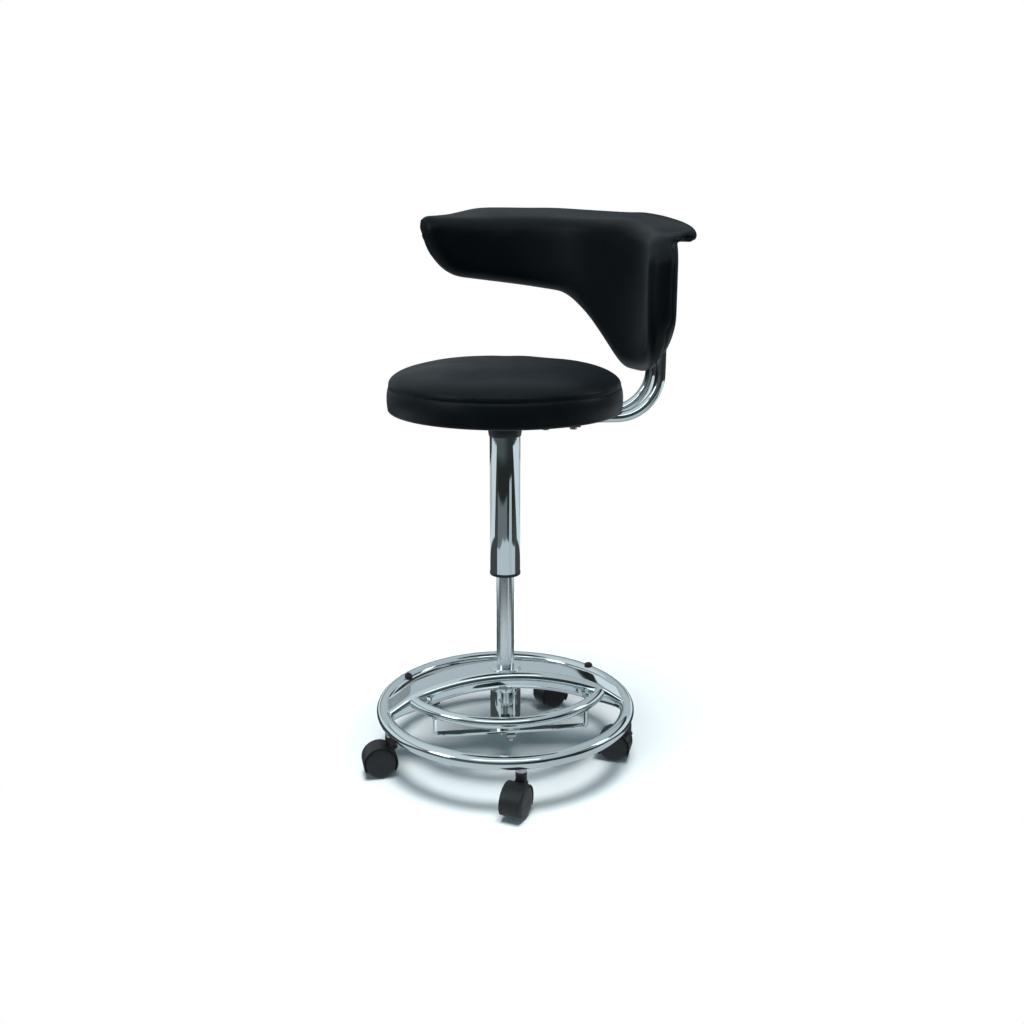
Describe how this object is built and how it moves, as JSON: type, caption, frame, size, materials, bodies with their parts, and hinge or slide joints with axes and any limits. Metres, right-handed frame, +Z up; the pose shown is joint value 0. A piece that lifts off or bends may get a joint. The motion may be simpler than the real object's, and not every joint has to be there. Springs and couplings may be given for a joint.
{
  "type": "dentist stool",
  "caption": "Height-adjustable dental stool with a round padded seat, a one-sided wrap-around backrest, a foot ring and a foot-released gas lift on casters.",
  "frame": {"origin": "on the floor, under the column's axis", "axes": "+Z up along the column; -Y towards the front caster; the arched beam lies along X and the backrest's tubes leave the seat along +X"},
  "size_m": [0.5199, 0.53, 0.862],
  "materials": {
    "chrome": "polished chrome plate",
    "satin_steel": "satin steel",
    "rod_steel": "ground and chromed rod",
    "zinc": "zinc plate",
    "black_plastic": "moulded black plastic",
    "caster_plastic": "moulded black nylon with a fine grain",
    "black_rubber": "black rubber",
    "black_paint": "black powder coat",
    "plywood": "moulded plywood",
    "foam": "open-cell foam",
    "vinyl": "black upholstery vinyl, soft satin"
  },
  "bodies": {
    "base": {"base_ring": "chrome", "arched_beam": "chrome", "hub_tube": "chrome", "taper_sleeve": "zinc", "caster_sockets": "zinc", "ring_plugs": "black_rubber", "bow_lugs": "chrome", "bow_pivot_pins": "zinc", "lever_bracket": "chrome", "lever_pin": "zinc", "gas_cylinder": "satin_steel", "cylinder_gland": "black_plastic"},
    "pedal": {"foot_bow": "chrome", "bow_strap": "chrome", "strap_bolt": "zinc"},
    "lever": {"release_lever": "zinc"},
    "valve": {"valve_pin": "zinc"},
    "lift": {"piston": "zinc", "piston_rod": "rod_steel", "thrust_bearing": "zinc", "rod_clip": "zinc"},
    "seat": {"cover_tube": "chrome", "guide_bush": "black_plastic", "cover_ring": "black_plastic", "cover_cap": "zinc", "seat_collar": "black_plastic", "seat_plate": "black_paint", "seat_plate_bolts": "zinc", "seat_base": "plywood", "seat_cushion": "foam", "seat_cover": "vinyl", "backrest_tube_left": "chrome", "backrest_tube_right": "chrome", "tube_clamps": "black_paint", "tube_clamp_bolts": "zinc", "backrest_board": "plywood", "backrest_pad": "vinyl", "backrest_rear_cover": "vinyl", "backrest_bracket": "black_paint", "backrest_screws": "zinc"},
    "caster_front": {"caster_front_hood": "caster_plastic", "caster_front_pins": "zinc"},
    "wheel_front_a": {"caster_front_wheel_a": "caster_plastic"},
    "wheel_front_b": {"caster_front_wheel_b": "caster_plastic"},
    "caster_right": {"caster_right_hood": "caster_plastic", "caster_right_pins": "zinc"},
    "wheel_right_a": {"caster_right_wheel_a": "caster_plastic"},
    "wheel_right_b": {"caster_right_wheel_b": "caster_plastic"},
    "caster_rear_right": {"caster_rear_right_hood": "caster_plastic", "caster_rear_right_pins": "zinc"},
    "wheel_rear_right_a": {"caster_rear_right_wheel_a": "caster_plastic"},
    "wheel_rear_right_b": {"caster_rear_right_wheel_b": "caster_plastic"},
    "caster_rear_left": {"caster_rear_left_hood": "caster_plastic", "caster_rear_left_pins": "zinc"},
    "wheel_rear_left_a": {"caster_rear_left_wheel_a": "caster_plastic"},
    "wheel_rear_left_b": {"caster_rear_left_wheel_b": "caster_plastic"},
    "caster_left": {"caster_left_hood": "caster_plastic", "caster_left_pins": "zinc"},
    "wheel_left_a": {"caster_left_wheel_a": "caster_plastic"},
    "wheel_left_b": {"caster_left_wheel_b": "caster_plastic"}
  },
  "joints": [
    {"name": "seat_lift", "type": "slide", "parent": "base", "child": "lift", "axis": [0, 0, 1], "range_m": [-0.13, 0]},
    {"name": "seat_swivel", "type": "hinge", "parent": "lift", "child": "seat", "pos_m": [0, 0, 0.5], "axis": [0, 0, 1], "continuous": true},
    {"name": "pedal_tilt", "type": "hinge", "parent": "base", "child": "pedal", "pos_m": [0, -0.038, 0.105], "axis": [1, 0, 0], "range_deg": [0, 6], "stiffness_Nm_per_rad": 6, "springref_deg": -8.59},
    {"name": "lever_rock", "type": "hinge", "parent": "base", "child": "lever", "pos_m": [0, -0.038, 0.055], "axis": [1, 0, 0], "range_deg": [0, 6.01]},
    {"name": "valve_press", "type": "slide", "parent": "base", "child": "valve", "axis": [0, 0, 1], "range_m": [0, 0.004]},
    {"name": "swivel_front", "type": "hinge", "parent": "base", "child": "caster_front", "pos_m": [0, -0.197, 0.06], "axis": [0, 0, 1], "continuous": true},
    {"name": "roll_front_a", "type": "hinge", "parent": "caster_front", "child": "wheel_front_a", "pos_m": [-0.00927, -0.21243, 0.025], "axis": [0.8572, -0.515, 0], "continuous": true},
    {"name": "roll_front_b", "type": "hinge", "parent": "caster_front", "child": "wheel_front_b", "pos_m": [-0.00927, -0.21243, 0.025], "axis": [0.8572, -0.515, 0], "continuous": true},
    {"name": "swivel_right", "type": "hinge", "parent": "base", "child": "caster_right", "pos_m": [0.18736, -0.06088, 0.06], "axis": [0, 0, 1], "continuous": true},
    {"name": "roll_right_a", "type": "hinge", "parent": "caster_right", "child": "wheel_right_a", "pos_m": [0.17067, -0.05413, 0.025], "axis": [-0.3746, -0.9272, 0], "continuous": true},
    {"name": "roll_right_b", "type": "hinge", "parent": "caster_right", "child": "wheel_right_b", "pos_m": [0.17067, -0.05413, 0.025], "axis": [-0.3746, -0.9272, 0], "continuous": true},
    {"name": "swivel_rear_right", "type": "hinge", "parent": "base", "child": "caster_rear_right", "pos_m": [0.11579, 0.15938, 0.06], "axis": [0, 0, 1], "continuous": true},
    {"name": "roll_rear_right_a", "type": "hinge", "parent": "caster_rear_right", "child": "wheel_rear_right_a", "pos_m": [0.09922, 0.15234, 0.025], "axis": [0.3907, -0.9205, 0], "continuous": true},
    {"name": "roll_rear_right_b", "type": "hinge", "parent": "caster_rear_right", "child": "wheel_rear_right_b", "pos_m": [0.09922, 0.15234, 0.025], "axis": [0.3907, -0.9205, 0], "continuous": true},
    {"name": "swivel_rear_left", "type": "hinge", "parent": "base", "child": "caster_rear_left", "pos_m": [-0.11579, 0.15938, 0.06], "axis": [0, 0, 1], "continuous": true},
    {"name": "roll_rear_left_a", "type": "hinge", "parent": "caster_rear_left", "child": "wheel_rear_left_a", "pos_m": [-0.11892, 0.1771, 0.025], "axis": [-0.9848, -0.1736, 0], "continuous": true},
    {"name": "roll_rear_left_b", "type": "hinge", "parent": "caster_rear_left", "child": "wheel_rear_left_b", "pos_m": [-0.11892, 0.1771, 0.025], "axis": [-0.9848, -0.1736, 0], "continuous": true},
    {"name": "swivel_left", "type": "hinge", "parent": "base", "child": "caster_left", "pos_m": [-0.18736, -0.06088, 0.06], "axis": [0, 0, 1], "continuous": true},
    {"name": "roll_left_a", "type": "hinge", "parent": "caster_left", "child": "wheel_left_a", "pos_m": [-0.20522, -0.06307, 0.025], "axis": [0.1219, -0.9925, 0], "continuous": true},
    {"name": "roll_left_b", "type": "hinge", "parent": "caster_left", "child": "wheel_left_b", "pos_m": [-0.20522, -0.06307, 0.025], "axis": [0.1219, -0.9925, 0], "continuous": true}
  ],
  "couplings": [
    {"joint": "lever_rock", "follows": "pedal_tilt", "ratio": 1},
    {"joint": "valve_press", "follows": "pedal_tilt", "m_per_rad": 0.038}
  ]
}
